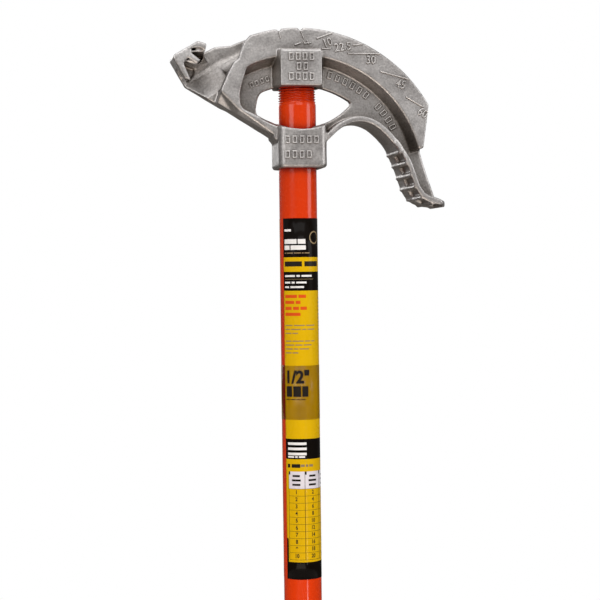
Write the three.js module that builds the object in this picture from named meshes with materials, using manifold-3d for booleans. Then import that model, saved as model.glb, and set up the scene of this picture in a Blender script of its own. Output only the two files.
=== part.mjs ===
// Hand conduit bender: an aluminium head casting screwed on a steel pipe handle.
// Millimetres, +Z up. The origin is on the handle's axis at its flat foot. The bend plane is
// X-Z, and -Y is the side with the degree marks, where the hook is open.
import * as THREE from 'three';
import { mergeVertices } from 'three/addons/utils/BufferGeometryUtils.js';
import Module from 'manifold-3d';

const wasm = await Module();
wasm.setup();

// ---- Driving dimensions -------------------------------------------------------------------

// Conduit that the shoe bends: 1/2 in trade size thin-wall steel tube
const CONDUIT_DIAMETER = 17.93;
const BEND_RADIUS = 101.6; // centre line of the bent conduit
const CONDUIT_RADIAL_GAP = 0.3;
const GROOVE_RADIUS = CONDUIT_DIAMETER / 2 + CONDUIT_RADIAL_GAP;

// Handle: 3/4 in trade size pipe, 38 in long, with a 14 threads per inch screw at the top
const PIPE_DIAMETER = 26.67;
const PIPE_BORE = 20.93;
const PIPE_LENGTH = 965;
const THREAD_PITCH = 25.4 / 14;
const THREAD_LENGTH = 33;
const THREAD_CREST_RADIUS = 13.2;
const THREAD_ROOT_RADIUS = 12.35;
const RUNNING_GAP = 0.3; // between any two separate pieces

// Slip-on cap at the foot of the handle
const CAP_WALL = 1.6;
const CAP_FLOOR = 2.5;
const CAP_HEIGHT = 32;
const CAP_EDGE = 1.2; // bevel round the foot

// Label wrapped round the handle, and the size sticker on top of it
const LABEL_LENGTH = 254;
const LABEL_THICKNESS = 0.25;
const LABEL_DROP = 26; // from the bend centre down to the label's top edge
const LABEL_START_DEG = 207; // free edge, on the front left
const LABEL_SWEEP_DEG = 320;
const STICKER_LENGTH = 38;
const STICKER_THICKNESS = 0.2;
const STICKER_DROP = 104; // from the label's top edge down to the sticker's
const STICKER_START_DEG = 165;
const STICKER_SWEEP_DEG = 205;

// Head: where the pipe's top end and the bend centre are
const PIPE_TOP_ABOVE_CENTRE = 87;
const PIPE_BASE_Z = CAP_FLOOR + RUNNING_GAP;
const BEND_CENTRE_Z = PIPE_BASE_Z + PIPE_LENGTH - PIPE_TOP_ABOVE_CENTRE;

// Shoe: the curved channel. Radii are from the bend centre.
const RIM_RADIUS = 107.3;
const RIM_FOOT_RADIUS = 88.5; // inner edge of the rim's flat side
const WEB_ROOT_RADIUS = 83.5; // where the sloping underside meets the web
const SHOE_HALF_WIDTH = 13;
const WEB_HALF_THICKNESS = 3;
const CHANNEL_DRAFT = 0.25;
const SHOE_END_DEG = 14.6;
const SHOE_END_RADIUS = 91.7;
const WALL_CORNER_DEG = 30;
const TANGENT_DEG = 120; // where the straight conduit leaves the arc

// Hook: along is measured from the tangent point towards the arc, out is away from the shoe
const HOOK_END = -34.2;
const LIP_OUTER = 18.3;
const LIP_TIP = -13;
const HOOK_LOWER_CORNER = -4.1;
const LIP_EDGE = [[-31.4, -2.5], [-21.5, 4.9], [-18, 6], [-12.2, 9.6]]; // front edge beside the groove
const SCOOP_TURN_DEG = 30; // where the groove's round wall runs on as the flat side of the scoop
const SCOOP_END = -5;
const SCOOP_BACK = 0; // the front of the hook is cut away back to this depth
const LIP_CELL_BACK = 10.5;
const LIP_FIN_THICKNESS = 1.3;
const LIP_FIN_INSET = 1.5; // how far the fins stand behind the lip's front
const ARM_EDGE_HALF_THICKNESS = 4; // along the left arm's bottom edge

// Boss that the handle screws into, and the lower collar that it passes through
const BOSS_FRONT_HALF_WIDTH = 14.5;
const BOSS_ROOT_HALF_WIDTH = 17.8;
const BOSS_HALF_DEPTH = 20;
const BOSS_BOTTOM = 66.1;
const BOSS_TOP = 91.5;
const SOCKET_RADIUS = 13.65;
const SOCKET_TOP = PIPE_TOP_ABOVE_CENTRE + 0.5;
const COLLAR_BOTTOM = 9.2;
const COLLAR_TOP = 46;
const COLLAR_HALF_WIDTH = 17.2;
const COLLAR_HALF_DEPTH = 19.4;
const COLLAR_SHIFT = 1.1; // towards the pedal
const COLLAR_CORNER = 5.5;
const COLLAR_FOOT_BEVEL = 1.4;

// Through window round the handle
const WINDOW_TOP_RADIUS = 68; // about the bend centre
const WINDOW_BOWL_RADIUS = 51.1;
const WINDOW_BOWL_HEIGHT = 88.7; // centre of the bowl's arc
const WINDOW_LEFT = -28.6;
const COLLAR_TOP_DROP = 1.5; // how much lower the bowl is at the collar's front and back
const COLLAR_TOP_DEPTH = 11;

// Arm and foot pedal
const PEDAL_HALF_WIDTH = 23;
const ARM_HALF_WIDTH = 17.5;
const ARM_THICKNESS = 3.7;
const TOE_THICKNESS = 4.9;
const TOE_TAPER = 1.6; // lost again at the very tip
const RIB_COUNT = 7;
const RIB_PITCH = 8.95;
const RIB_WIDTH = 2.5;
const RIB_HEIGHT = 1.2;
const RIB_END_INSET = 0.8; // from the toe's tip to the last rib's middle
const POCKET_DEPTH = 2.5;
const POCKET_LENGTH = 6.4; // along the tread
const POCKET_FRONT = -20.9; // the pockets are nearer to the pedal's front edge
const POCKET_REAR = 4;

const ROUND_SEGMENTS = 36;
const RIM_SEGMENTS = 96;

// ---- Small helpers ------------------------------------------------------------------------

const radians = THREE.MathUtils.degToRad;

function polar(radius, degrees) {
  return new THREE.Vector2(radius * Math.cos(radians(degrees)), radius * Math.sin(radians(degrees)));
}

// Point on the hook, from its distance along the straight conduit and out from its centre line
const tangentPoint = polar(BEND_RADIUS, TANGENT_DEG);
const alongDirection = polar(1, TANGENT_DEG - 90);
const outDirection = polar(1, TANGENT_DEG);
function hookPoint(along, out) {
  return tangentPoint.clone().addScaledVector(alongDirection, along).addScaledVector(outDirection, out);
}

function points(...pairs) {
  return pairs.map(([x, z]) => new THREE.Vector2(x, z));
}

function signedVolume(position, index) {
  const [a, b, c] = [new THREE.Vector3(), new THREE.Vector3(), new THREE.Vector3()];
  let sum = 0;
  for (let i = 0; i < index.length; i += 3) {
    a.fromBufferAttribute(position, index[i]);
    b.fromBufferAttribute(position, index[i + 1]);
    c.fromBufferAttribute(position, index[i + 2]);
    sum += a.dot(b.cross(c)) / 6;
  }
  return sum;
}

// A closed three.js geometry as a solid for joining and cutting, with its faces turned outwards
function toSolid(geometry) {
  geometry.deleteAttribute('normal');
  geometry.deleteAttribute('uv');
  const merged = mergeVertices(geometry);
  const index = Array.from(merged.index.array);
  const kept = [];
  for (let i = 0; i < index.length; i += 3) {
    const [a, b, c] = index.slice(i, i + 3);
    if (a !== b && b !== c && c !== a) kept.push(a, b, c);
  }
  const position = merged.attributes.position;
  if (signedVolume(position, kept) < 0) kept.reverse();
  return new wasm.Manifold(new wasm.Mesh({
    numProp: 3,
    vertProperties: new Float32Array(position.array),
    triVerts: new Uint32Array(kept),
  }));
}

function join(...solids) {
  return solids.reduce((sum, solid) => sum.add(solid));
}

// An X-Z outline extruded in depth from yFront to yBack
function slab(outline, yFront, yBack) {
  const shape = outline instanceof THREE.Shape ? outline : new THREE.Shape(outline);
  const geometry = new THREE.ExtrudeGeometry(shape, {
    depth: yBack - yFront, bevelEnabled: false, curveSegments: ROUND_SEGMENTS / 4,
  });
  geometry.translate(0, 0, -yBack);
  geometry.rotateX(Math.PI / 2);
  return toSolid(geometry);
}

// An X-Y outline extruded upwards from low to high
function column(outline, low, high, bevel = 0) {
  const shape = outline instanceof THREE.Shape ? outline : new THREE.Shape(outline);
  const geometry = new THREE.ExtrudeGeometry(shape, {
    depth: high - low - 2 * bevel,
    bevelEnabled: bevel > 0,
    bevelThickness: bevel,
    bevelSize: bevel,
    bevelOffset: -bevel,
    bevelSegments: 1,
    curveSegments: ROUND_SEGMENTS / 4,
  });
  geometry.translate(0, 0, low + bevel);
  return toSolid(geometry);
}

// A closed (radius, height) profile turned about the vertical axis
function turned(profile, segments = ROUND_SEGMENTS) {
  const geometry = new THREE.LatheGeometry(profile, segments);
  geometry.rotateX(Math.PI / 2);
  return toSolid(geometry);
}

function rod(radius, low, high) {
  return turned(points([0, low], [radius, low], [radius, high], [0, high]));
}

// A closed (radius, depth) profile turned about the bend axis
function ring(profile) {
  return toSolid(new THREE.LatheGeometry(profile, RIM_SEGMENTS));
}

// A section in (depth, out) run along the straight conduit between two distances
function alongHook(section, from, to) {
  const geometry = new THREE.ExtrudeGeometry(section, {
    depth: to - from, bevelEnabled: false, curveSegments: ROUND_SEGMENTS / 4,
  });
  const start = hookPoint(from, 0);
  const basis = new THREE.Matrix4().makeBasis(
    new THREE.Vector3(0, 1, 0),
    new THREE.Vector3(outDirection.x, 0, outDirection.y),
    new THREE.Vector3(alongDirection.x, 0, alongDirection.y),
  );
  basis.setPosition(start.x, 0, start.y);
  geometry.applyMatrix4(basis);
  return toSolid(geometry);
}

function roundedRectangle(halfWidth, halfHeight, corner) {
  const shape = new THREE.Shape();
  const [x, y] = [halfWidth - corner, halfHeight - corner];
  shape.absarc(x, -y, corner, -Math.PI / 2, 0);
  shape.absarc(x, y, corner, 0, Math.PI / 2);
  shape.absarc(-x, y, corner, Math.PI / 2, Math.PI);
  shape.absarc(-x, -y, corner, Math.PI, 1.5 * Math.PI);
  return shape;
}

function meshOf(name, solid, material) {
  const { vertProperties, triVerts } = solid.getMesh();
  const geometry = new THREE.BufferGeometry();
  geometry.setAttribute('position', new THREE.BufferAttribute(vertProperties, 3));
  geometry.setIndex(new THREE.BufferAttribute(triVerts, 1));
  geometry.computeVertexNormals();
  const mesh = new THREE.Mesh(geometry, material);
  mesh.name = name;
  return mesh;
}

// ---- Head casting, in a frame centred on the bend centre -----------------------------------

// Curved channel with flat sides and an underside that slopes back to the web
function shoe() {
  const outer = SHOE_HALF_WIDTH;
  const rim = ring(points(
    [RIM_RADIUS, -outer], [RIM_RADIUS, outer],
    [RIM_FOOT_RADIUS, outer], [WEB_ROOT_RADIUS, WEB_HALF_THICKNESS],
    [WEB_ROOT_RADIUS, -WEB_HALF_THICKNESS], [RIM_FOOT_RADIUS, -outer], [RIM_RADIUS, -outer],
  ));
  const sector = new THREE.Shape();
  const clear = RIM_RADIUS + 5;
  sector.moveTo(0, 0);
  sector.lineTo(...polar(SHOE_END_RADIUS, SHOE_END_DEG).toArray());
  sector.lineTo(...polar(RIM_RADIUS, WALL_CORNER_DEG).toArray());
  sector.lineTo(...polar(clear, WALL_CORNER_DEG).toArray());
  sector.absarc(0, 0, clear, radians(WALL_CORNER_DEG), radians(TANGENT_DEG));
  return rim.intersect(slab(sector, -outer, outer));
}

// Round-bottomed slot that the conduit lies in, along the arc and on under the hook's lip
function conduitSpace() {
  const floor = new THREE.Path();
  floor.absarc(BEND_RADIUS, 0, GROOVE_RADIUS, 1.5 * Math.PI, Math.PI / 2, true);
  const mouth = RIM_RADIUS + 25;
  const open = GROOVE_RADIUS + CHANNEL_DRAFT;
  const profile = [
    ...points([mouth, -open]), ...floor.getPoints(ROUND_SEGMENTS / 4), ...points([mouth, open], [mouth, -open]),
  ];
  const sector = new THREE.Shape();
  const reach = 1.3 * mouth;
  sector.moveTo(0, 0);
  sector.lineTo(...polar(reach, SHOE_END_DEG).toArray());
  sector.lineTo(reach, reach);
  sector.lineTo(...polar(reach, TANGENT_DEG).toArray());
  const arc = ring(profile).intersect(slab(sector, -open, open));

  const barrel = new THREE.Shape();
  barrel.absarc(0, 0, GROOVE_RADIUS, 0, 2 * Math.PI);
  // flat side that leaves the round wall along its tangent and comes out at the hook's middle depth
  const turn = radians(SCOOP_TURN_DEG);
  const leave = [GROOVE_RADIUS * Math.cos(turn), -GROOVE_RADIUS * Math.sin(turn)];
  const scoopFoot = leave[1] - leave[0] / Math.tan(turn);
  const scoop = new THREE.Shape(points([-1, 0], leave, [0, scoopFoot], [-1, scoopFoot]));
  const above = new THREE.Shape(points(
    [-open, 0], [GROOVE_RADIUS, 0], [open, 2 * LIP_OUTER], [-open, 2 * LIP_OUTER],
  ));
  return join(
    arc,
    alongHook(barrel, 2 * HOOK_END, 0.5),
    alongHook(scoop, 2 * HOOK_END, SCOOP_END),
    alongHook(above, LIP_TIP + 1.5, 0.5),
  );
}

// Left arm from the hook down to the collar, as thick as the shoe
function hookArm() {
  const outline = new THREE.Shape([
    hookPoint(HOOK_END, LIP_OUTER - 1.5), hookPoint(HOOK_END + 2, LIP_OUTER),
    hookPoint(LIP_TIP, LIP_OUTER), hookPoint(LIP_TIP + 4.3, LIP_OUTER - 4.8),
    hookPoint(LIP_TIP + 3, 10.4), hookPoint(-1.2, 10), polar(RIM_RADIUS, 115),
    polar(RIM_RADIUS, 108), polar(RIM_FOOT_RADIUS, 112),
  ]);
  // edge of the pocket in the web
  outline.lineTo(-37.4, 78.6);
  outline.lineTo(-41.8, 64.5);
  outline.quadraticCurveTo(-44, 52.5, -39, 50);
  outline.lineTo(-24, 43);
  outline.lineTo(-10, 37);
  outline.lineTo(-10, 26);
  outline.lineTo(COLLAR_SHIFT - COLLAR_HALF_WIDTH, 27);
  outline.quadraticCurveTo(-20.5, 32.8, -26, 36);
  outline.lineTo(...hookPoint(HOOK_END, HOOK_LOWER_CORNER).toArray());
  return slab(outline, -SHOE_HALF_WIDTH, SHOE_HALF_WIDTH);
}

// What is cut away in front of the hook, up to a short flange of the lip at its end
function hookOpening() {
  const outline = [
    ...points(
      [-31, 105.5], [-38.9, 97.1], [-43.4, 85], [-46.3, 83.2], [-50.1, 76],
      [-54.6, 66], [-58, 54.9], [-60, 40], [-120, 40],
    ),
    hookPoint(2 * HOOK_END, 2), hookPoint(HOOK_END - 0.5, 0.9),
    ...LIP_EDGE.map(([along, out]) => hookPoint(along, out)),
    hookPoint(LIP_TIP + 4.3, LIP_OUTER - 4.8), hookPoint(LIP_TIP + 4.5, 2 * LIP_OUTER),
  ];
  return slab(outline, -2 * SHOE_HALF_WIDTH, SCOOP_BACK);
}

// Two open cells under the hook's lip, each split by a thin fin that runs in from the front
function lipCells() {
  const cells = [
    [[-19.4, 16], [-14.2, 13.4], [-12, 9.4], [-13.4, 6.6], [-18, 5.6], [-21.2, 13.8]],
    [[-25.2, 11.8], [-21.4, 4.6], [-23.5, 1], [-31.2, -2.4], [-30.5, 3.5], [-29.5, 9.8], [-27.8, 10.6]],
  ];
  const fins = [[[-21, 14.6], [-12.4, 9.8]], [[-27, 10.7], [-22.2, 5]]];
  const cut = (outline) => slab(
    outline.map(([along, out]) => hookPoint(along, out)), -2 * SHOE_HALF_WIDTH, LIP_CELL_BACK,
  );
  const fin = ([from, to]) => {
    const [start, end] = [hookPoint(...from), hookPoint(...to)];
    const side = end.clone().sub(start).normalize().rotateAround(new THREE.Vector2(), Math.PI / 2);
    const edge = (point, share) => point.clone().addScaledVector(side, share * LIP_FIN_THICKNESS);
    const outline = [edge(start, -0.5), edge(end, -0.5), edge(end, 0.5), edge(start, 0.5)];
    return slab(outline, LIP_FIN_INSET - SHOE_HALF_WIDTH, SHOE_HALF_WIDTH);
  };
  return join(...cells.map(cut)).subtract(join(...fins.map(fin)));
}

// Facet that slopes from a crease on the left arm's flat side to its thinner bottom edge;
// side is -1 for the front of the arm and 1 for the back
function armFacet(crease, bottom, side) {
  const [flat, edge] = [SHOE_HALF_WIDTH, ARM_EDGE_HALF_THICKNESS];
  const outline = [
    ...crease.map(([x, z]) => new THREE.Vector3(x, z, flat)),
    ...bottom.map(([x, z]) => new THREE.Vector3(x, z, edge)),
  ];
  const shape = new THREE.Shape(outline.map(({ x, y }) => new THREE.Vector2(x, y)));
  const geometry = new THREE.ExtrudeGeometry(shape, { depth: 1, bevelEnabled: false });
  const position = geometry.attributes.position;
  for (let i = 0; i < position.count; i += 1) {
    const [x, y] = [position.getX(i), position.getY(i)];
    const corner = outline.find((point) => Math.hypot(point.x - x, point.y - y) < 1e-3);
    const depth = position.getZ(i) > 0.5 ? 2 * SHOE_HALF_WIDTH : corner.z;
    position.setZ(i, -side * depth);
  }
  geometry.rotateX(Math.PI / 2);
  return toSolid(geometry);
}

function armFacets() {
  const front = [[-59, 66], [-52.8, 66], [-43.7, 50.4], [-27, 38.6], [-19, 33]];
  const back = [[-68, 56], [-43.7, 50.4], [-27, 38.6], [-19, 33]];
  return join(
    armFacet(front, [[-19, 30], [-44, 44], [-83, 67]], -1),
    armFacet(back, [[-19, 30], [-44, 44], [-56, 50.5]], 1),
  );
}

// Thin web between the shoe, the left arm, the collar and the foot pedal
function web() {
  const outline = new THREE.Shape(points([100.3, -15], [98.4, -9.3], [92.9, 6.4], [88.6, 21], [88.4, 23.4]));
  outline.lineTo(...polar(WEB_ROOT_RADIUS + 3, SHOE_END_DEG).toArray());
  outline.absarc(0, 0, WEB_ROOT_RADIUS + 3, radians(SHOE_END_DEG), radians(116));
  const rest = points(
    [-43, 72], [-45, 52], [-26, 38], [-10, 30], [12, 30], [24, 37], [35, 43.5],
    [45, 43.8], [55, 41.2], [62.6, 33.8], [69.6, 25.2], [76, 13.8], [79.4, 3.8], [82.8, -5.3], [89, -12.6],
  );
  rest.forEach((point) => outline.lineTo(point.x, point.y));
  return slab(outline, -WEB_HALF_THICKNESS, WEB_HALF_THICKNESS);
}

// The opening's outline is a bowl below and an arc about the bend centre above
function windowSlab(drop, yFront, yBack) {
  const outline = new THREE.Shape();
  const centre = WINDOW_BOWL_HEIGHT - drop;
  const bowl = (x) => centre - Math.sqrt(WINDOW_BOWL_RADIUS ** 2 - x ** 2);
  const bowlAngle = (x) => Math.atan2(bowl(x) - centre, x);
  const [leftStart, rightEnd] = [-25.5, 36.2];
  outline.absarc(0, centre, WINDOW_BOWL_RADIUS, bowlAngle(leftStart), bowlAngle(rightEnd));
  outline.quadraticCurveTo(39.5, 55.5, ...polar(WINDOW_TOP_RADIUS, 57.5).toArray());
  outline.absarc(0, 0, WINDOW_TOP_RADIUS, radians(59), radians(110));
  outline.quadraticCurveTo(-27.6, 62.4, WINDOW_LEFT, 57.5);
  outline.lineTo(WINDOW_LEFT - 1.2, 51.5);
  outline.quadraticCurveTo(-29.8, 46.5, leftStart - 1.5, bowl(leftStart - 1.5));
  return slab(outline, yFront, yBack);
}

function windowOpening() {
  const [near, far] = [COLLAR_TOP_DEPTH, 2 * BOSS_HALF_DEPTH];
  return join(
    windowSlab(0, -far, far), windowSlab(COLLAR_TOP_DROP, -far, -near), windowSlab(COLLAR_TOP_DROP, near, far),
  );
}

function boss() {
  const [front, root, deep, shallow] = [
    BOSS_FRONT_HALF_WIDTH, BOSS_ROOT_HALF_WIDTH, BOSS_HALF_DEPTH, WEB_HALF_THICKNESS,
  ];
  return column(points(
    [-front, -deep], [front, -deep], [root, -shallow], [root, shallow],
    [front, deep], [-front, deep], [-root, shallow], [-root, -shallow],
  ), BOSS_BOTTOM, BOSS_TOP, 0.8);
}

function collar() {
  const section = roundedRectangle(COLLAR_HALF_WIDTH, COLLAR_HALF_DEPTH, COLLAR_CORNER);
  return column(section, COLLAR_BOTTOM, COLLAR_TOP, COLLAR_FOOT_BEVEL).translate([COLLAR_SHIFT, 0, 0]);
}

// Underside of the arm and tread of the pedal, from the collar to the toe
const treadCurve = new THREE.SplineCurve(points(
  [14, 23.5], [24, 33.3], [31, 38.3], [38, 41], [45, 41.3], [52, 38.9], [59, 33.6], [65.8, 26.1],
  [69.6, 19.6], [74.1, 11.5], [77.3, 2.4], [80.6, -6.4], [85.3, -13], [92.2, -16.5], [102.2, -18.2],
));

function treadFrame(distance) {
  const share = distance / treadCurve.getLength();
  const tangent = treadCurve.getTangentAt(share);
  return { at: treadCurve.getPointAt(share), tangent, out: new THREE.Vector2(tangent.y, -tangent.x) };
}

// Four-sided outline standing on the tread curve, between two heights measured outwards
function treadBlock(distance, low, high, lowWidth, highWidth) {
  const { at, tangent, out } = treadFrame(distance);
  const corner = (width, height) => at.clone().addScaledVector(tangent, width / 2).addScaledVector(out, height);
  return [corner(-lowWidth, low), corner(lowWidth, low), corner(highWidth, high), corner(-highWidth, high)];
}

function armAndPedal() {
  const steps = 44;
  const length = treadCurve.getLength();
  const lower = [];
  const upper = [];
  for (let i = 0; i <= steps; i += 1) {
    const { at, out } = treadFrame((length * i) / steps);
    const grow = THREE.MathUtils.smoothstep(i / steps, 0.78, 0.92);
    const tip = THREE.MathUtils.smoothstep(i / steps, 0.93, 1);
    const thickness = ARM_THICKNESS + (TOE_THICKNESS - ARM_THICKNESS) * grow - TOE_TAPER * tip;
    lower.push(at);
    upper.unshift(at.clone().addScaledVector(out, -thickness));
  }
  const wide = PEDAL_HALF_WIDTH;
  const narrow = ARM_HALF_WIDTH;
  const plan = new THREE.Shape(points(
    [8, -narrow + 3], [20, -narrow], [66.5, -narrow], [71.5, -wide + 1.5], [74, -wide],
    [99, -wide], [102.2, -wide + 4], [102.2, wide - 4], [99, wide],
    [74, wide], [71.5, wide - 1.5], [66.5, narrow], [20, narrow], [8, narrow - 3],
  ));
  const plate = slab([...lower, ...upper], -wide, wide);
  return join(plate, pedalRibs()).intersect(column(plan, -60, 60));
}

function pedalRibs() {
  const last = treadCurve.getLength() - RIB_END_INSET;
  const place = (i) => last - i * RIB_PITCH;
  const ribs = Array.from({ length: RIB_COUNT }, (_, i) => slab(
    treadBlock(place(i), -0.5, RIB_HEIGHT, RIB_WIDTH, RIB_WIDTH - 1.2),
    0.6 - PEDAL_HALF_WIDTH, PEDAL_HALF_WIDTH - 0.6,
  ));
  return join(...ribs);
}

function pedalPockets() {
  const last = treadCurve.getLength() - RIB_END_INSET - RIB_PITCH / 2;
  return join(...Array.from({ length: RIB_COUNT - 1 }, (_, i) => slab(
    treadBlock(last - i * RIB_PITCH, -POCKET_DEPTH, RIB_HEIGHT + 1, POCKET_LENGTH - 1, POCKET_LENGTH),
    POCKET_FRONT, POCKET_REAR,
  )));
}

// Sighting notches in the front wall's edge
function sightingNotches() {
  const degrees = [97.8, 89.6];
  const [halfAngle, depth] = [1, 2.2];
  return join(...degrees.map((angle) => slab([
    polar(RIM_RADIUS + 1, angle - 1.4 * halfAngle), polar(RIM_RADIUS + 1, angle + 1.4 * halfAngle),
    polar(RIM_RADIUS - depth, angle),
  ], -2 * SHOE_HALF_WIDTH, 0)));
}

function headCasting() {
  const body = join(shoe(), hookArm(), web(), collar(), boss(), armAndPedal());
  const cuts = join(
    conduitSpace(), hookOpening(), lipCells(), armFacets(), pedalPockets(), sightingNotches(),
    rod(SOCKET_RADIUS, -5, SOCKET_TOP),
  );
  const open = windowOpening().subtract(column(
    roundedRectangle(BOSS_ROOT_HALF_WIDTH, BOSS_HALF_DEPTH, 0.1), BOSS_BOTTOM, BOSS_TOP,
  ));
  return body.subtract(cuts).subtract(open);
}

// ---- Handle pieces, in the part's own frame -------------------------------------------------

// Screw thread: a ridge that climbs one pitch each turn, trimmed flat at both ends
function threadedEnd(low, high) {
  const turns = Math.ceil((high - low) / THREAD_PITCH) + 3;
  const start = low - 1.5 * THREAD_PITCH;
  const vertices = [];
  for (let row = 0; row <= 2 * turns + 1; row += 1) {
    const radius = row % 2 === 0 ? THREAD_CREST_RADIUS : THREAD_ROOT_RADIUS;
    for (let i = 0; i < ROUND_SEGMENTS; i += 1) {
      const angle = (2 * Math.PI * i) / ROUND_SEGMENTS;
      const height = start + THREAD_PITCH * (row / 2 + i / ROUND_SEGMENTS);
      vertices.push(radius * Math.cos(angle), radius * Math.sin(angle), height);
    }
  }
  // the last column of a row meets the first column two rows up
  const at = (row, i) => (i < ROUND_SEGMENTS ? row * ROUND_SEGMENTS + i : (row + 2) * ROUND_SEGMENTS);
  const triangles = [];
  const lastRow = 2 * turns - 1;
  for (let row = 0; row < lastRow; row += 1) {
    for (let i = 0; i < ROUND_SEGMENTS; i += 1) {
      triangles.push(at(row, i), at(row, i + 1), at(row + 1, i + 1));
      triangles.push(at(row, i), at(row + 1, i + 1), at(row + 1, i));
    }
  }
  const addCap = (row, height, upwards) => {
    const centre = vertices.length / 3;
    vertices.push(0, 0, height);
    const loop = Array.from({ length: ROUND_SEGMENTS + 1 }, (_, i) => at(row, i));
    loop.push(at(row + 1, 0));
    loop.forEach((from, i) => {
      const to = loop[(i + 1) % loop.length];
      triangles.push(centre, ...(upwards ? [from, to] : [to, from]));
    });
  };
  addCap(0, start - THREAD_PITCH, false);
  addCap(lastRow, start + THREAD_PITCH * (turns + 2), true);
  const geometry = new THREE.BufferGeometry();
  geometry.setAttribute('position', new THREE.Float32BufferAttribute(vertices, 3));
  geometry.setIndex(triangles);
  return toSolid(geometry).intersect(rod(PIPE_DIAMETER, low, high));
}

function handlePipe() {
  const top = PIPE_BASE_Z + PIPE_LENGTH;
  const shoulder = top - THREAD_LENGTH;
  const body = join(rod(PIPE_DIAMETER / 2, PIPE_BASE_Z, shoulder), threadedEnd(shoulder - 0.5, top));
  return body.subtract(rod(PIPE_BORE / 2, PIPE_BASE_Z - 1, top + 1));
}

function endCap() {
  const inner = PIPE_DIAMETER / 2 + RUNNING_GAP;
  const outer = inner + CAP_WALL;
  return turned(points(
    [0, 0], [outer - CAP_EDGE, 0], [outer, CAP_EDGE], [outer, CAP_HEIGHT - CAP_EDGE / 2],
    [outer - CAP_EDGE / 2, CAP_HEIGHT], [inner, CAP_HEIGHT], [inner, CAP_FLOOR], [0, CAP_FLOOR],
  ));
}

// Thin sheet bent round the handle, open at its free edges
function wrap(innerRadius, thickness, startDegrees, sweepDegrees, low, high) {
  const [from, to] = [radians(startDegrees), radians(startDegrees + sweepDegrees)];
  const sheet = new THREE.Shape();
  sheet.absarc(0, 0, innerRadius + thickness, from, to);
  sheet.absarc(0, 0, innerRadius, to, from, true);
  const geometry = new THREE.ExtrudeGeometry(sheet, {
    depth: high - low, bevelEnabled: false, curveSegments: ROUND_SEGMENTS,
  });
  geometry.translate(0, 0, low);
  return toSolid(geometry);
}

const labelInner = PIPE_DIAMETER / 2 + RUNNING_GAP;
const labelTop = BEND_CENTRE_Z - LABEL_DROP;
function wrapLabel() {
  return wrap(
    labelInner, LABEL_THICKNESS, LABEL_START_DEG, LABEL_SWEEP_DEG, labelTop - LABEL_LENGTH, labelTop,
  );
}

function sizeSticker() {
  const inner = labelInner + LABEL_THICKNESS + RUNNING_GAP;
  const top = labelTop - STICKER_DROP;
  return wrap(inner, STICKER_THICKNESS, STICKER_START_DEG, STICKER_SWEEP_DEG, top - STICKER_LENGTH, top);
}

// ---- Assembly ------------------------------------------------------------------------------

function paint(color, roughness, metalness) {
  return new THREE.MeshStandardMaterial({ color, roughness, metalness });
}

const bender = new THREE.Group();

const head = new THREE.Group();
head.position.z = BEND_CENTRE_Z;
head.add(meshOf('head_casting', headCasting(), paint(0x918f8e, 0.5, 0.85)));
bender.add(head);

bender.add(meshOf('handle_pipe', handlePipe(), paint(0xd63602, 0.3, 0)));
bender.add(meshOf('wrap_label', wrapLabel(), paint(0xd6aa0a, 0.35, 0)));
bender.add(meshOf('size_sticker', sizeSticker(), paint(0xaf8205, 0.3, 0)));
bender.add(meshOf('handle_end_cap', endCap(), paint(0x1b1b1d, 0.6, 0)));

export default bender;
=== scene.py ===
"""Looks of the conduit bender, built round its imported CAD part. Lengths are millimetres until
they are scaled to metres, except for the stage, which is in metres. Heights on the head are
measured from the bend centre, and places on the label as drops below its top edge."""

import math

import bmesh
import bpy
from mathutils import Matrix, Vector, noise


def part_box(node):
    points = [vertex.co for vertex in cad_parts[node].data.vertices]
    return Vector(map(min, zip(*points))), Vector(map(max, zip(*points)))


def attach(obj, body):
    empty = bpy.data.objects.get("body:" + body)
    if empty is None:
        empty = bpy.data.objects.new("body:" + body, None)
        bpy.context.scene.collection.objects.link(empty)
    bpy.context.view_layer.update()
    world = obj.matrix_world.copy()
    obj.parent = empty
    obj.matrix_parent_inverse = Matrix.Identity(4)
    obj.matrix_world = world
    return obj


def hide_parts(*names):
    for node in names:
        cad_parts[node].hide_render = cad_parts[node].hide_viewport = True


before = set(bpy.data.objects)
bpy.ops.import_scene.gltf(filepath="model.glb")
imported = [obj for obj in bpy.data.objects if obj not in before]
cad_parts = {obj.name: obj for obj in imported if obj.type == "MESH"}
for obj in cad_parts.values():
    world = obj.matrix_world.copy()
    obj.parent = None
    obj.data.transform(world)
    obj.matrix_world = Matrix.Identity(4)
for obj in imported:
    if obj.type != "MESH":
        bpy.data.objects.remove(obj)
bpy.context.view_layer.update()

# ---- Sizes ---------------------------------------------------------------------------------

MM = 0.001


def box_mm(node):
    """Lowest and highest corner of a CAD node in millimetres, without the frame's 32-bit rounding."""
    return [[round(value / MM, 3) for value in corner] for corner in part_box(node)]


PIPE_BOX = box_mm("handle_pipe")
CAP_BOX = box_mm("handle_end_cap")
LABEL_BOX = box_mm("wrap_label")

# handle
PIPE_LOW = PIPE_BOX[0][2]
PIPE_TOP = PIPE_BOX[1][2]
PIPE_RADIUS = PIPE_BOX[1][0]
PIPE_BORE_RADIUS = 10.465
PIPE_SEGMENTS = 96
THREAD_LENGTH = 33.0
THREAD_PITCH = 25.4 / 14
THREAD_DEPTH = 0.85
THREAD_FADE = 3.0  # the thread reaches its full depth over this length
THREAD_CREST = 0.1  # its crests start this far below the pipe's surface
THREAD_TAPER = 0.5  # and the radius shrinks by this up to the pipe's end
CAP_HEIGHT = CAP_BOX[1][2]
CAP_RADIUS = 15.2
CAP_BORE_RADIUS = 13.64
CAP_SEGMENTS = 72
GROOVE_DEPTH = 0.35

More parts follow.
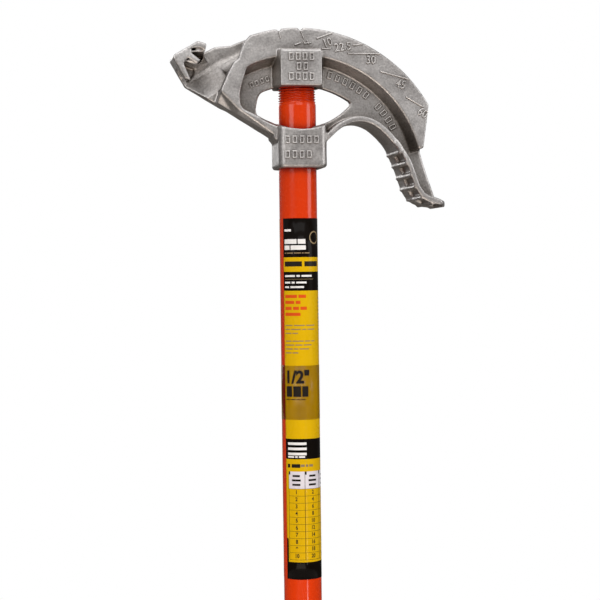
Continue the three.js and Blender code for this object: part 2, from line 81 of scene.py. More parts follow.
# head
BEND_CENTRE = PIPE_TOP - 87.0  # height of the bend centre above the foot
RIM_RADIUS = 107.3
RIM_FACE = -13.0  # depth of the rim's marked side
WEB_FACE = -3.0
BOSS_FACE = -20.0
COLLAR_FACE = -19.4
HEAD_VOXEL = 0.62  # size of the cells that the head is rebuilt from
HEAD_PASSES = 5  # rounds of smoothing
TREAD_LEFT = 56.0  # the pedal's tread is to the right of this and below TREAD_TOP
TREAD_TOP = 24.0
TREAD_PASSES = 9

# raised marks
MARK_VOXEL = 0.2
MARK_PASSES = 3
MARK_RAISE = 0.75  # they stand out of the face by this, and reach into it as far
MARK_HEIGHT = 5.6  # numerals and word blocks
MARK_WEIGHT = 0.12  # added round each numeral's outline
LINE_WIDTH = 1.5
LINE_INSET = 0.7  # between a degree mark's end and the rim's edge
FRAME_WIDTH = 3.7
DIAL_DISTANCE = 89.5  # from the bend centre to the line of every degree mark
DIAL_TURN = 30.0  # a degree mark's line runs at this angle less the mark

# label and sticker: angles are degrees about the handle
LABEL_TOP = LABEL_BOX[1][2]
LABEL_LENGTH = LABEL_TOP - LABEL_BOX[0][2]
LABEL_RADIUS = 13.36
LABEL_THICKNESS = 0.12
LABEL_START = 207.0
LABEL_SWEEP = 320.0
STICKER_RADIUS = 13.53
STICKER_THICKNESS = 0.06
STICKER_START = 165.0
STICKER_SWEEP = 205.0
STICKER_DROP = 103.5
STICKER_LENGTH = 38.0
SHEET_STEP = 4.0  # degrees between a sheet's columns
PRINT_LIFT = 0.03
PRINT_WEIGHT = 0.12
STRIP_WIDTH = 0.8  # numerals are cut into strips this wide, to follow the curve

# stage, in metres
FLOOR_RADIUS = 0.7
LIGHT_TARGET = (0.0, 0.0, 0.85)


# ---- Mesh helpers --------------------------------------------------------------------------

def head_point(x, depth, z):
    """Place in metres of a point on the head, from its height over the bend centre."""
    return Vector((x, depth, z + BEND_CENTRE)) * MM


def add_piece(name, mesh, body, slot_name, *replaced):
    """New object that rides on a CAD body, and stands for the CAD nodes named last."""
    piece = bpy.data.objects.new(name, mesh)
    bpy.context.scene.collection.objects.link(piece)
    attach(piece, body)
    if replaced:
        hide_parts(*replaced)
    return piece


def shown_mesh(helper):
    """The mesh that an object shows, with its modifiers applied. The object is removed."""
    bpy.context.scene.collection.objects.link(helper)
    shown = helper.evaluated_get(bpy.context.evaluated_depsgraph_get())
    mesh = bpy.data.meshes.new_from_object(shown)
    bpy.data.objects.remove(helper)
    return mesh


def baked(mesh, *modifiers):
    """The mesh after the given modifiers, each a type and its settings."""
    helper = bpy.data.objects.new("helper", mesh)
    for kind, settings in modifiers:
        modifier = helper.modifiers.new(kind.lower(), kind)
        for key, value in settings.items():
            setattr(modifier, key, value)
    return shown_mesh(helper)


def softened(mesh, voxel, passes):
    """The mesh rebuilt as one even skin with its edges rounded off."""
    return baked(
        mesh,
        ("REMESH", {"mode": "VOXEL", "voxel_size": voxel * MM, "use_smooth_shade": True}),
        ("SMOOTH", {"factor": 0.5, "iterations": passes}),
    )


def paint_mesh(mesh, *materials):
    """Gives the mesh these materials and no others."""
    if mesh.materials:
        mesh.materials.clear()
    for material in materials:
        mesh.materials.append(material)


def text_mesh(words, height, raise_by=0.0, weight=0.0):
    """Text in its own X-Y plane, centred, flat or raised, with the given height of its capitals."""
    cap_share = 0.7
    curve = bpy.data.curves.new("words", "FONT")
    curve.body = words
    curve.size = height / cap_share * MM
    curve.align_x = "CENTER"
    curve.align_y = "CENTER"
    curve.extrude = raise_by * MM
    curve.offset = weight * MM
    return shown_mesh(bpy.data.objects.new("words", curve))


def add_bar(bm, matrix, length, height, depth, taper=0.75):
    """Raised bar with sloping sides, centred on the matrix's origin, standing along its +Z."""
    slope = min(length, height) * (1 - taper) / 2
    rings = []
    for inset, z in ((0, -depth), (slope, depth)):
        x, y = length / 2 - inset, height / 2 - inset
        corners = ((-x, -y), (x, -y), (x, y), (-x, y))
        rings.append([bm.verts.new(matrix @ (Vector((*corner, z)) * MM)) for corner in corners])
    low, high = rings
    bm.faces.new(low[::-1])
    bm.faces.new(high)
    for i in range(4):
        j = (i + 1) % 4
        bm.faces.new((low[i], low[j], high[j], high[i]))


def add_frame(bm, matrix, width, height, depth, wall=1.15):
    """Raised hollow rectangle, with its open middle flush."""
    for side in (-1, 1):
        across = Matrix.Translation((side * (width - wall) / 2 * MM, 0, 0))
        along = Matrix.Translation((0, side * (height - wall) / 2 * MM, 0))
        add_bar(bm, matrix @ across, wall, height, depth)
        add_bar(bm, matrix @ along, width, wall, depth)


def smooth_skin(bm):
    """Turns every face outwards and shades it smooth."""
    bmesh.ops.recalc_face_normals(bm, faces=bm.faces)
    for face in bm.faces:
        face.smooth = True


def mesh_of(bm, name):
    """The bmesh as a named mesh. The bmesh is freed."""
    mesh = bpy.data.meshes.new(name)
    bm.to_mesh(mesh)
    bm.free()
    return mesh


# ---- Material helpers ----------------------------------------------------------------------

class Shader:
    """A material with one Principled node, and short calls that add and link nodes."""

    def __init__(self, name):
        self.material = bpy.data.materials.new(name)
        self.material.use_nodes = True
        self.nodes = self.material.node_tree.nodes
        self.links = self.material.node_tree.links
        self.base = self.nodes["Principled BSDF"]
        self.place = self.nodes.new("ShaderNodeTexCoord").outputs["Object"]

    def link(self, out, into):
        self.links.new(out, into)

    def stretched(self, scale):
        """Object coordinates, scaled along each axis."""
        mapping = self.nodes.new("ShaderNodeMapping")
        mapping.inputs["Scale"].default_value = scale
        self.link(self.place, mapping.inputs["Vector"])
        return mapping.outputs["Vector"]

    def noise(self, scale, detail=3.0, stretch=None):
        """Noise from 0 to 1, drawn out along an axis where the stretch is below 1."""
        node = self.nodes.new("ShaderNodeTexNoise")
        node.inputs["Scale"].default_value = scale
        node.inputs["Detail"].default_value = detail
        self.link(self.stretched(stretch) if stretch else self.place, node.inputs["Vector"])
        return node.outputs["Fac"]

    def ramp(self, value, *stops):
        """Colours or greys between stops, each a position and a value."""
        node = self.nodes.new("ShaderNodeValToRGB")
        elements = node.color_ramp.elements
        while len(elements) < len(stops):
            elements.new(0.5)
        for element, (position, color) in zip(elements, stops):
            element.position = position
            if isinstance(color, float):
                color = (color, color, color)
            element.color = (*color, 1)
        self.link(value, node.inputs["Fac"])
        return node.outputs["Color"]

    def mix(self, share, first, second, mode="MIX"):
        """Blend of two colours by a share, each of them a value or another node's output."""
        node = self.nodes.new("ShaderNodeMix")
        node.data_type = "RGBA"
        node.blend_type = mode
        share_in, first_in, second_in = node.inputs[0], node.inputs[6], node.inputs[7]
        for value, into in ((share, share_in), (first, first_in), (second, second_in)):
            if isinstance(value, float):
                into.default_value = value
            elif isinstance(value, tuple):
                into.default_value = (*value, 1)
            else:
                self.link(value, into)
        return node.outputs[2]

    def bump(self, height, distance, strength=1.0):
        """Adds relief on top of any that the material has so far."""
        node = self.nodes.new("ShaderNodeBump")
        node.inputs["Distance"].default_value = distance * MM
        node.inputs["Strength"].default_value = strength
        self.link(height, node.inputs["Height"])
        previous = self.base.inputs["Normal"]
        if previous.is_linked:
            self.link(previous.links[0].from_socket, node.inputs["Normal"])
        self.link(node.outputs["Normal"], previous)

    def edge_wear_and_highlight(self, most):
        """0 in hollows and on flats, rising to the given share on outer edges, which are paler partly as
        worn metal and partly as painted highlight.
        """
        geometry = self.nodes.new("ShaderNodeNewGeometry")
        return self.ramp(geometry.outputs["Pointiness"], (0.52, 0.0), (0.62, most))

    def color(self, out):
        """Base colour, from another node's output."""
        self.link(out, self.base.inputs["Base Color"])

    def roughness(self, pattern, low, high):
        """Roughness that follows a pattern. Each stop is a position in the pattern and a roughness."""
        self.link(self.ramp(pattern, low, high), self.base.inputs["Roughness"])

    def gloss_coat(self, weight, roughness):
        """Clear layer over the colour, as strong as its weight."""
        self.base.inputs["Coat Weight"].default_value = weight
        self.base.inputs["Coat Roughness"].default_value = roughness

    def hollows(self, distance):
        """1 in the open, falling towards 0 in corners and pockets."""
        node = self.nodes.new("ShaderNodeAmbientOcclusion")
        node.inputs["Distance"].default_value = distance * MM
        node.samples = 8
        return node.outputs["Color"]


def cast_aluminium(name, light, wear_and_highlight):
    """Satin casting, darkened by painted shade in its hollows, and with outer edges paler by the given
    share, partly worn bright and partly painted highlight.
    """
    look = Shader(name)
    dark_tone = tuple(light * share for share in (0.4, 0.378, 0.366))
    light_tone = tuple(light * share for share in (0.61, 0.59, 0.578))
    broad = look.ramp(look.noise(38, 5), (0.32, dark_tone), (0.68, light_tone))
    grain = look.ramp(look.noise(700, 6), (0.32, 0.68), (0.68, 1.0))
    tone = look.mix(1.0, broad, grain, "MULTIPLY")
    # Painted shade: the colour darkens in broad hollows found by occlusion over 28 mm.
    shade = look.ramp(look.hollows(28), (0.35, (0.36, 0.32, 0.28)), (0.95, (1.0, 1.0, 1.0)))
    # Painted shade: the colour darkens further, towards brown, in tight corners and pockets found by
    # occlusion over 6 mm.
    corner_shade = look.ramp(look.hollows(6), (0.35, (0.2, 0.16, 0.13)), (0.74, (1.0, 1.0, 1.0)))
    tone = look.mix(1.0, look.mix(1.0, tone, shade, "MULTIPLY"), corner_shade, "MULTIPLY")
    # Paler outer edges: partly worn bright, partly painted highlight.
    tone = look.mix(look.edge_wear_and_highlight(wear_and_highlight), tone, (0.8, 0.78, 0.76))
    look.color(tone)
    look.base.inputs["Metallic"].default_value = 0.9
    look.roughness(look.noise(160, 5), (0.3, 0.35), (0.7, 0.5))
    look.bump(look.noise(420, 5), 0.12, 0.5)
    look.bump(look.noise(1700, 4), 0.05, 0.5)
    return look.material


def powder_coat():
    """Glossy orange coat with slight orange peel, made darker and redder in its corners by painted shade.
    """
    look = Shader("orange_coat")
    color = look.ramp(
        look.noise(30, 3, (1, 1, 0.12)), (0.3, (0.56, 0.03, 0.001)), (0.7, (0.66, 0.041, 0.0015)),
    )
    # Painted shade: darker, redder colour in the corners and thread grooves found by occlusion over 5 mm.
    groove_shade = look.ramp(look.hollows(5), (0.45, (0.45, 0.12, 0.9)), (0.95, (1.0, 1.0, 1.0)))
    look.color(look.mix(1.0, color, groove_shade, "MULTIPLY"))
    look.roughness(look.noise(300, 3), (0.35, 0.2), (0.7, 0.32))
    look.base.inputs["Specular IOR Level"].default_value = 0.1
    look.gloss_coat(0.45, 0.08)
    look.bump(look.noise(260, 2), 0.06, 0.25)
    return look.material


def printed_film(name, first, second, roughness=0.22, shine=0.07):
    """Glossy printed film with faint streaks along the handle and a slight ripple."""
    look = Shader(name)
    streaks = look.noise(70, 4, (1, 1, 0.06))
    look.color(look.ramp(streaks, (0.3, first), (0.7, second)))
    look.roughness(look.noise(400, 2), (0.3, roughness), (0.7, roughness + 0.1))
    look.base.inputs["Specular IOR Level"].default_value = shine
    look.gloss_coat(0.1, 0.1)
    look.bump(look.noise(55, 2, (1, 1, 0.35)), 0.12, 0.35)
    return look.material


def tinted_film():
    """Clear amber film that darkens whatever is under it."""
    look = Shader("sticker_film")
    streaks = look.ramp(
        look.noise(160, 3, (1, 1, 0.02)), (0.3, (0.8, 0.77, 0.52)), (0.7, (0.88, 0.86, 0.66)),
    )
    clear = look.nodes.new("ShaderNodeBsdfTransparent")
    look.link(streaks, clear.inputs["Color"])
    gloss = look.nodes.new("ShaderNodeBsdfGlossy")
    gloss.inputs["Roughness"].default_value = 0.2
    blend = look.nodes.new("ShaderNodeMixShader")
    weight = look.nodes.new("ShaderNodeLayerWeight")
    look.link(look.ramp(weight.outputs["Facing"], (0.5, 0.015), (1.0, 0.12)), blend.inputs["Fac"])
    look.link(clear.outputs["BSDF"], blend.inputs[1])
    look.link(gloss.outputs["BSDF"], blend.inputs[2])
    look.link(blend.outputs["Shader"], look.nodes["Material Output"].inputs["Surface"])
    return look.material


def vinyl():
    """Soft black vinyl with scuffs drawn out up and down the cap."""
    look = Shader("black_vinyl")
    color = look.ramp(look.noise(60, 4), (0.3, (0.012, 0.012, 0.013)), (0.7, (0.026, 0.026, 0.028)))
    scuffs = look.ramp(look.noise(500, 6, (1, 1, 0.3)), (0.6, 0.0), (0.75, 0.35))
    look.color(look.mix(scuffs, color, (0.07, 0.068, 0.066)))
    look.roughness(look.noise(200, 3), (0.3, 0.48), (0.7, 0.66))
    look.bump(look.noise(900, 3), 0.08, 0.5)
    return look.material


def floor_paint():
    """Pale, slightly mottled grey."""
    look = Shader("pale_floor")
    tone = look.ramp(look.noise(6, 3), (0.3, (0.56, 0.54, 0.51)), (0.7, (0.62, 0.6, 0.57)))
    look.color(tone)
    look.base.inputs["Roughness"].default_value = 0.6
    return look.material


# ---- Head ----------------------------------------------------------------------------------

def round_tread(mesh):
    """Extra rounding on the pedal alone, where feet have worn the ribs."""
    bm = bmesh.new()
    bm.from_mesh(mesh)
    left, top = TREAD_LEFT * MM, (TREAD_TOP + BEND_CENTRE) * MM
    worn = [vertex for vertex in bm.verts if vertex.co.x > left and vertex.co.z < top]
    every_axis = {"use_axis_x": True, "use_axis_y": True, "use_axis_z": True}
    for _ in range(TREAD_PASSES):
        bmesh.ops.smooth_vert(bm, verts=worn, factor=0.5, **every_axis)
    bm.to_mesh(mesh)
    bm.free()


def head_surface(material):
    """The CAD casting with its edges rounded and its faces slightly uneven."""
    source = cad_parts["head_casting"].data.copy()
    bm = bmesh.new()
    bm.from_mesh(source)
    bmesh.ops.remove_doubles(bm, verts=bm.verts, dist=0.001 * MM)
    bm.to_mesh(source)
    bm.free()
    mesh = softened(source, HEAD_VOXEL, HEAD_PASSES)
    round_tread(mesh)
    normals = [vertex.normal.copy() for vertex in mesh.vertices]
    for vertex, normal in zip(mesh.vertices, normals):
        waves = noise.noise(vertex.co * 130) * 0.09 + noise.noise(vertex.co * 600) * 0.03
        vertex.co += normal * waves * MM
    paint_mesh(mesh, material)
    return add_piece("head_surface", mesh, "bender_head", "cast_aluminium", "head_casting")


def facing_front(x, depth, z, turn=0.0):
    """Matrix of a flat mark on a face towards -Y, turned by an angle in degrees."""
    place = Matrix.Translation(head_point(x, depth, z))
    upright = Matrix.Rotation(math.radians(90), 4, "X")
    return place @ upright @ Matrix.Rotation(math.radians(turn), 4, "Z")


def bar_between(bm, start, end, depth, width):
    """Raised bar on a front face, from one point to another."""
    (x0, z0), (x1, z1) = start, end
    length = math.hypot(x1 - x0, z1 - z0)
    turn = math.degrees(math.atan2(z1 - z0, x1 - x0))
    matrix = facing_front((x0 + x1) / 2, depth, (z0 + z1) / 2, turn)
    add_bar(bm, matrix, length, width, MARK_RAISE, taper=0.6)


def dial_point(mark, along, across):
    """Point at a distance along a degree mark's direction, and at another across it."""
    turn = math.radians(DIAL_TURN - mark)
    return (
        along * math.cos(turn) - across * math.sin(turn),
        along * math.sin(turn) + across * math.cos(turn),
    )


def degree_lines(bm):
    """A line at each degree mark, between two radii from the bend centre."""
    start_radii = {10: 100.3, 22.5: 102.6, 30: 95.8, 45: 96.3, 60: 96.5}
    end_radii = {60: 103.0}  # the others run out to the rim's edge
    for mark, start_radius in start_radii.items():
        ends = []
        for radius in (start_radius, end_radii.get(mark, RIM_RADIUS - LINE_INSET)):
            along = math.sqrt(radius ** 2 - DIAL_DISTANCE ** 2)
            ends.append(dial_point(mark, along, DIAL_DISTANCE))
        bar_between(bm, *ends, RIM_FACE, LINE_WIDTH)


def add_mesh(bm, mesh, matrix):
    """Moves a mesh into place and into the bmesh. The mesh is removed."""
    mesh.transform(matrix)
    bm.from_mesh(mesh)
    bpy.data.meshes.remove(mesh)


def degree_numerals(bm):
    """The number of each degree mark, placed along and across the mark's direction."""
    places = {
        "10": (51.8, 84.2),
        "22.5": (42.9, 89.0),
        "30": (51.0, 84.9),
        "45": (52.4, 84.4),
        "60": (52.4, 85.6),
    }
    narrow = Matrix.Diagonal((0.9, 1, 1, 1))
    for words, (along, across) in places.items():
        mark = float(words)
        x, z = dial_point(mark, along, across)
        mesh = text_mesh(words, MARK_HEIGHT, MARK_RAISE, MARK_WEIGHT)
        add_mesh(bm, mesh, facing_front(x, RIM_FACE, z, DIAL_TURN - mark) @ narrow)


def notch_marks(bm):
    """Small pointers on the rim, each stroke from one point to another and with its width."""
    strokes = (
        ((0.7, 105.2), (2.2, 102.4), 0.9),
        ((2.2, 102.4), (3.0, 99.2), 0.9),
        ((2.6, 98.2), (4.2, 95.6), 1.1),
        ((2.7, 96.2), (8.4, 96.6), 1.0),
        ((5.4, 98.4), (6.6, 95.4), 1.0),
        ((-3.7, 95.0), (1.1, 96.6), 1.3),
        ((15.6, 92.7), (22.5, 92.9), 1.2),
        ((-14.6, 104.8), (-13.2, 99.5), 0.9),
    )
    for start, end, width in strokes:
        bar_between(bm, start, end, RIM_FACE, width)


def word_blocks(bm, start, end, depth, count, height=MARK_HEIGHT, width=FRAME_WIDTH):
    """A row of plain raised frames from start to end, in place of a cast word."""
    (x0, z0), (x1, z1) = start, end
    turn = math.degrees(math.atan2(z1 - z0, x1 - x0))
    for i in range(count):
        share = (i + 0.5) / count
        matrix = facing_front(x0 + (x1 - x0) * share, depth, z0 + (z1 - z0) * share, turn)
        add_frame(bm, matrix, width, height, MARK_RAISE)


def arc_blocks(bm, radius, start, end, count, gap_after):
    """Plain raised frames on the web, along an arc about the bend centre, with one place left free."""
    step = (end - start) / count
    for i in range(count + 1):
        if i == gap_after:
            continue
        angle = start + step * i
        x = radius * math.cos(math.radians(angle))
        z = radius * math.sin(math.radians(angle))
        matrix = facing_front(x, WEB_FACE, z, angle - 90)
        add_frame(bm, matrix, FRAME_WIDTH, MARK_HEIGHT, MARK_RAISE)


def raised_marks(material):
    """Everything that is cast proud of the head's faces."""
    bm = bmesh.new()
    degree_lines(bm)
    degree_numerals(bm)
    notch_marks(bm)
    word_blocks(bm, (-9.6, 86.2), (9.8, 86.3), BOSS_FACE, 4)
    word_blocks(bm, (-4.2, 79.3), (5.4, 79.4), BOSS_FACE, 2)
    word_blocks(bm, (-9.8, 72.4), (9.8, 72.4), BOSS_FACE, 4)
    word_blocks(bm, (-13.0, 28.6), (12.6, 28.6), COLLAR_FACE, 5)
    word_blocks(bm, (-13.0, 18.3), (7.4, 18.3), COLLAR_FACE, 4)
    word_blocks(bm, (-34.6, 67.3), (-19.8, 73.0), WEB_FACE, 4, height=4.2, width=3.1)
    arc_blocks(bm, radius=78.8, start=72.8, end=29.5, count=10, gap_after=6)
    mesh = softened(mesh_of(bm, "raised_marks"), MARK_VOXEL, MARK_PASSES)
    paint_mesh(mesh, material)
    return add_piece("raised_marks", mesh, "bender_head", "cast_aluminium")


# ---- Handle --------------------------------------------------------------------------------

def tube_rows(rows, segments):
    """Closed loop of round rows as a bmesh. Each row has a function from angle to radius, and a height."""
    bm = bmesh.new()
    loops = []
    for radius_at, height in rows:
        loop = []
        for i in range(segments):
            angle = 2 * math.pi * i / segments
            radius = radius_at(angle)
            point = Vector((radius * math.cos(angle), radius * math.sin(angle), height)) * MM
            loop.append(bm.verts.new(point))
        loops.append(loop)
    for lower, upper in zip(loops, loops[1:] + loops[:1]):
        for i in range(segments):
            j = (i + 1) % segments
            bm.faces.new((lower[i], lower[j], upper[j], upper[i]))
    smooth_skin(bm)
    return bm


def plain(radius):
    """The same radius at every angle."""
    return lambda angle: radius


def thread_radius(height):
    """Radius of the thread by angle: a V-shaped ridge that climbs one pitch each turn, with a flat root."""
    into = height - (PIPE_TOP - THREAD_LENGTH)
    fade = min(1.0, max(0.0, into / THREAD_FADE))
    crest = PIPE_RADIUS - THREAD_CREST - THREAD_TAPER * max(0.0, into) / THREAD_LENGTH

    def radius_at(angle):
        turn = height / THREAD_PITCH - angle / (2 * math.pi)
        from_crest = abs(2 * (turn % 1) - 1)
        depth = THREAD_DEPTH * min(1.0, 1.25 * from_crest)
        return crest - depth * fade if into > 0 else PIPE_RADIUS

    return radius_at


def pipe_surface(material):
    """The pipe: a small chamfer at its foot, wide rows up the shaft and fine rows over the thread."""
    shoulder = PIPE_TOP - THREAD_LENGTH
    rows = [
        (plain(PIPE_BORE_RADIUS), PIPE_LOW),
        (plain(PIPE_RADIUS - 0.4), PIPE_LOW),
        (plain(PIPE_RADIUS), PIPE_LOW + 0.5),
    ]
    shaft, shaft_steps = shoulder - PIPE_LOW - 1, 24
    for i in range(1, shaft_steps + 1):
        rows.append((plain(PIPE_RADIUS), PIPE_LOW + shaft * i / shaft_steps))
    rows_per_turn = 12
    thread_steps = int(THREAD_LENGTH / THREAD_PITCH * rows_per_turn)
    for i in range(thread_steps + 1):
        height = shoulder + THREAD_LENGTH * i / thread_steps
        rows.append((thread_radius(height), height))
    rows.append((plain(PIPE_BORE_RADIUS), PIPE_TOP))
    mesh = mesh_of(tube_rows(rows, PIPE_SEGMENTS), "pipe_surface")
    mesh.set_sharp_from_angle(angle=math.radians(50))
    paint_mesh(mesh, material)
    return add_piece("pipe_surface", mesh, "handle", "orange_coat", "handle_pipe")


def cap_surface(material):
    """Slip-on cap with a rounded foot, a soft rim and three shallow grip grooves."""
    axis = 0.001  # nearly on the axis, so that the middle closes
    outer = [(axis, 0.0), (9.0, 0.0), (13.6, 0.15), (14.6, 0.6), (15.05, 1.5), (CAP_RADIUS, 3.0)]
    for low in (9.0, 13.0, 17.0):
        outer += [(CAP_RADIUS, low), (CAP_RADIUS - GROOVE_DEPTH, low + 1), (CAP_RADIUS, low + 2)]
    rim = [(CAP_RADIUS, 30.6), (15.0, 31.5), (14.6, CAP_HEIGHT), (14.1, 31.8), (CAP_BORE_RADIUS, 31.2)]
    inner = [(CAP_BORE_RADIUS, 2.6), (axis, 2.5)]
    rows = [(plain(radius), height) for radius, height in outer + rim + inner]
    mesh = mesh_of(tube_rows(rows, CAP_SEGMENTS), "cap_surface")
    mesh = baked(mesh, ("SUBSURF", {"levels": 1, "render_levels": 1}))
    paint_mesh(mesh, material)
    return add_piece("cap_surface", mesh, "handle_foot", "black_vinyl", "handle_end_cap")


# ---- Label ---------------------------------------------------------------------------------

def on_handle(radius, degrees, drop):
    """Point round the handle at a drop below the label's top edge."""
    angle = math.radians(degrees)
    return Vector((radius * math.cos(angle), radius * math.sin(angle), LABEL_TOP - drop)) * MM


def close_sheet(bm, inner, outer):
    """Joins the inner and outer grids of a sheet round its four edges."""
    last, columns = len(inner) - 1, len(inner[0]) - 1
    for i in range(columns):
        bm.faces.new((inner[0][i], outer[0][i], outer[0][i + 1], inner[0][i + 1]))
        bm.faces.new((inner[last][i], inner[last][i + 1], outer[last][i + 1], outer[last][i]))
    for j in range(last):
        bm.faces.new((inner[j][0], inner[j + 1][0], outer[j + 1][0], outer[j][0]))
        bm.faces.new((inner[j][-1], outer[j][-1], outer[j + 1][-1], inner[j + 1][-1]))


def wrapped_sheet(radius, thickness, start, sweep, drops, material_at=lambda drop, degrees: 0):
    """Thin curved sheet with its own thickness. material_at gives each cell's material number."""
    bm = bmesh.new()
    columns = int(sweep / SHEET_STEP)
    angles = [start + sweep * i / columns for i in range(columns + 1)]
    grids = []
    for side in (radius, radius + thickness):
        grid = [[bm.verts.new(on_handle(side, angle, drop)) for angle in angles] for drop in drops]
        grids.append(grid)
    inner, outer = grids
    for j in range(len(drops) - 1):
        for i in range(columns):
            number = material_at((drops[j] + drops[j + 1]) / 2, (angles[i] + angles[i + 1]) / 2)
            face = bm.faces.new((outer[j][i], outer[j + 1][i], outer[j + 1][i + 1], outer[j][i + 1]))
            face.material_index = number
            bm.faces.new((inner[j][i], inner[j][i + 1], inner[j + 1][i + 1], inner[j + 1][i]))
    close_sheet(bm, inner, outer)
    smooth_skin(bm)
    return bm


YELLOW, BLACK, PALE = 0, 1, 2  # material numbers of the label's films
CORNER_TOP = 225.3  # below this, the label is black to the left of the table
TABLE_TOP = 177.9
TABLE_HEAD = 190.0
TABLE_ROW = 5.0
TABLE_ROWS = 10
TABLE_LEFT = 218.0  # degrees, as the width of a column is
TABLE_COLUMN = 51.5
TABLE_COLUMNS = 4
BANDS = (  # the lower end of each band, and its film
    (27.3, BLACK),
    (37.5, YELLOW),
    (50.8, BLACK),
    (154.9, YELLOW),
    (169.2, BLACK),
    (TABLE_TOP, YELLOW),
    (TABLE_HEAD, PALE),
    (CORNER_TOP, YELLOW),
    (241.8, YELLOW),
    (LABEL_LENGTH, BLACK),
)


def band_at(drop, degrees):
    """Material number of the label's film at a place."""
    for end, color in BANDS:
        if drop < end:
            break
    if color == PALE and degrees < TABLE_LEFT:
        return YELLOW
    if drop > CORNER_TOP and degrees < TABLE_LEFT - 1:
        return BLACK
    return color


def label_sheet(yellow, black, pale):
    """The label's film, in bands of three colours."""
    drops = [0.0] + [end for end, color in BANDS]
    bm = wrapped_sheet(LABEL_RADIUS, LABEL_THICKNESS, LABEL_START, LABEL_SWEEP, drops, band_at)
    mesh = mesh_of(bm, "label_sheet")
    paint_mesh(mesh, yellow, black, pale)
    return add_piece("label_sheet", mesh, "handle", "label_film", "wrap_label")


class Print:
    """Flat printed shapes laid on the curved label, each with one ink."""

    def __init__(self, radius):
        self.bm = bmesh.new()
        self.radius = radius + PRINT_LIFT

    def patch(self, degrees, drop, width, height, ink):
        """Rectangle from its left top corner, with its width measured round the handle."""
        sweep = math.degrees(width / self.radius)
        columns = max(1, int(sweep / SHEET_STEP))
        step = sweep / columns
        for i in range(columns):
            left = degrees + step * i
            right = left + step
            corners = ((left, drop), (left, drop + height), (right, drop + height), (right, drop))
            points = [on_handle(self.radius, *corner) for corner in corners]
            face = self.bm.faces.new([self.bm.verts.new(point) for point in points])
            face.material_index = ink

    def ring(self, degrees, drop, radius, width, ink):
        """Plain round band, centred on a place."""
        steps = 32
        loops = []
        for reach in (radius - width, radius):
            loop = []
            for i in range(steps):
                angle = 2 * math.pi * i / steps
                turn = degrees + math.degrees(reach * math.cos(angle) / self.radius)
                point = on_handle(self.radius, turn, drop - reach * math.sin(angle))
                loop.append(self.bm.verts.new(point))
            loops.append(loop)
        inner, outer = loops
        for i in range(steps):
            j = (i + 1) % steps
            self.bm.faces.new((inner[i], outer[i], outer[j], inner[j])).material_index = ink

    def line_of_words(self, degrees, drop, widths, height, ink, gap=1.1):
        """Short bars in place of words, one for each width."""
        for width in widths:
            self.patch(degrees, drop, width, height, ink)
            degrees += math.degrees((width + gap) / self.radius)

    def text(self, words, degrees, drop, height, ink, weight=0.0, narrow=0.85):
        """Numerals centred on a place, cut into thin strips so that they follow the curve."""
        mesh = text_mesh(words, height, 0.0, weight)
        piece = bmesh.new()
        piece.from_mesh(mesh)
        bpy.data.meshes.remove(mesh)
        step = STRIP_WIDTH * MM
        reach = int(max(abs(vertex.co.x) for vertex in piece.verts) / step) + 1
        for i in range(-reach, reach + 1):
            everything = piece.verts[:] + piece.edges[:] + piece.faces[:]
            bmesh.ops.bisect_plane(piece, geom=everything, plane_co=(i * step, 0, 0), plane_no=(1, 0, 0))
        for vertex in piece.verts:
            turn = degrees + math.degrees(vertex.co.x / MM * narrow / self.radius)
            vertex.co = on_handle(self.radius, turn, drop - vertex.co.y / MM)
        for face in piece.faces:
            face.material_index = ink
        finished = mesh_of(piece, "words")
        self.bm.from_mesh(finished)
        bpy.data.meshes.remove(finished)

    def finish(self, name, slot_name, *inks):
        """The printed shapes as one piece on the handle."""
        bmesh.ops.recalc_face_normals(self.bm, faces=self.bm.faces)
        mesh = mesh_of(self.bm, name)
        paint_mesh(mesh, *inks)
        return add_piece(name, mesh, "handle", slot_name)


WHITE_INK, DARK_INK, RED_INK, BROWN_INK = 0, 1, 2, 3  # material numbers of the label's print
MARGIN = LABEL_START + 6  # where its lines start
SMALL_PITCH = 2.75


def small_print(sheet, degrees, drop, rows):
    """Rows of fine bars, each row a list of widths."""
    for i, widths in enumerate(rows):
        sheet.line_of_words(degrees, drop + SMALL_PITCH * i, widths, 0.75, BROWN_INK, 0.9)


def top_block(sheet):
    """Black head of the label: short bars in rows, and a plain faint ring."""
    sheet.line_of_words(MARGIN, 7.6, [5.6], 1.6, WHITE_INK)
    sheet.line_of_words(MARGIN, 14.6, [9.6, 5.6], 3.3, WHITE_INK, 0.8)
    sheet.line_of_words(MARGIN, 19.0, [4.4, 11.0], 3.1, WHITE_INK, 0.8)
    sheet.line_of_words(MARGIN, 24.0, [1.6, 4.6, 5.0, 1.2, 4.0], 0.7, BROWN_INK, 0.7)
    sheet.ring(MARGIN + 100, 13.5, 4.6, 0.9, BROWN_INK)


def name_block(sheet):
    """Two wide bars on the yellow band, and rows of small ones on the black band under it."""
    sheet.line_of_words(MARGIN, 30.2, [13.2, 12.4], 3.6, DARK_INK, 1.8)
    sheet.line_of_words(MARGIN, 39.8, [8.2, 2.4, 8.0], 1.3, WHITE_INK)
    sheet.patch(MARGIN, 42.6, 22, 0.25, BROWN_INK)
    sheet.line_of_words(MARGIN, 44.4, [4.6, 2.2, 7.4], 1.3, WHITE_INK)
    sheet.line_of_words(MARGIN, 47.6, [3.6, 9.8], 1.3, WHITE_INK)


def text_block(sheet):
    """Four rows of red bars, and two blocks of small print under them."""
    rows = [[9.4, 5.4], [7.4, 3.4], [5.4, 4.2, 4.6], [11.8]]
    for i, widths in enumerate(rows):
        sheet.line_of_words(MARGIN, 53.6 + 4.2 * i, widths, 2.3, RED_INK)
    first = [[6, 8, 7], [4, 7, 3, 6], [5, 4]]
    second = [[5, 8, 4, 3], [7, 5, 6], [6, 3, 7], [5, 4]]
    small_print(sheet, MARGIN, 74.8, first + [[]] + second)


